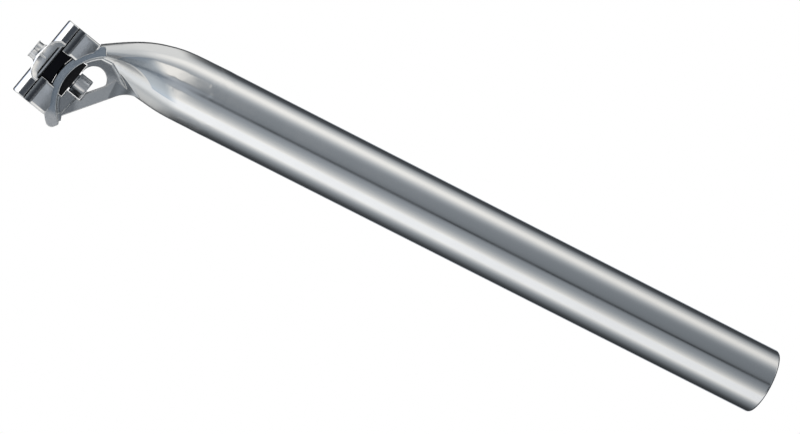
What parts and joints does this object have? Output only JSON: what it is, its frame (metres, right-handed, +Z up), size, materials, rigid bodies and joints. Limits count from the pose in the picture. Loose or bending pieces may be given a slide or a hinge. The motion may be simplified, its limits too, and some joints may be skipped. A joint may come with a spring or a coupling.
{
  "type": "bicycle seatpost",
  "caption": "Setback seatpost: round tube with a forged head, a curved cradle and a one-bolt clamp that holds two saddle rails and rocks to set the saddle's tilt.",
  "frame": {"origin": "on the tube's axis, at its cut lower end", "axes": "+Z up the tube to the saddle, +X to the front of the bicycle, +Y to its left; the head sets the saddle back towards -X"},
  "size_m": [0.0571, 0.0572, 0.361],
  "materials": {
    "post_satin": "satin clear anodised",
    "clamp_polished": "polished",
    "washer_black": "black anodised",
    "bolt_plated": "bright plated steel"
  },
  "bodies": {
    "root": {"post": "post_satin"},
    "clamp": {"lower_clamp": "clamp_polished", "upper_clamp": "clamp_polished", "half_moon_washer": "washer_black", "clamp_bolt": "bolt_plated", "clamp_nut": "bolt_plated"}
  },
  "joints": [
    {"name": "clamp_tilt", "type": "hinge", "parent": "root", "child": "clamp", "pos_m": [-0.023, 0, 0.321], "axis": [0, 1, 0], "range_deg": [-10, 12]}
  ]
}
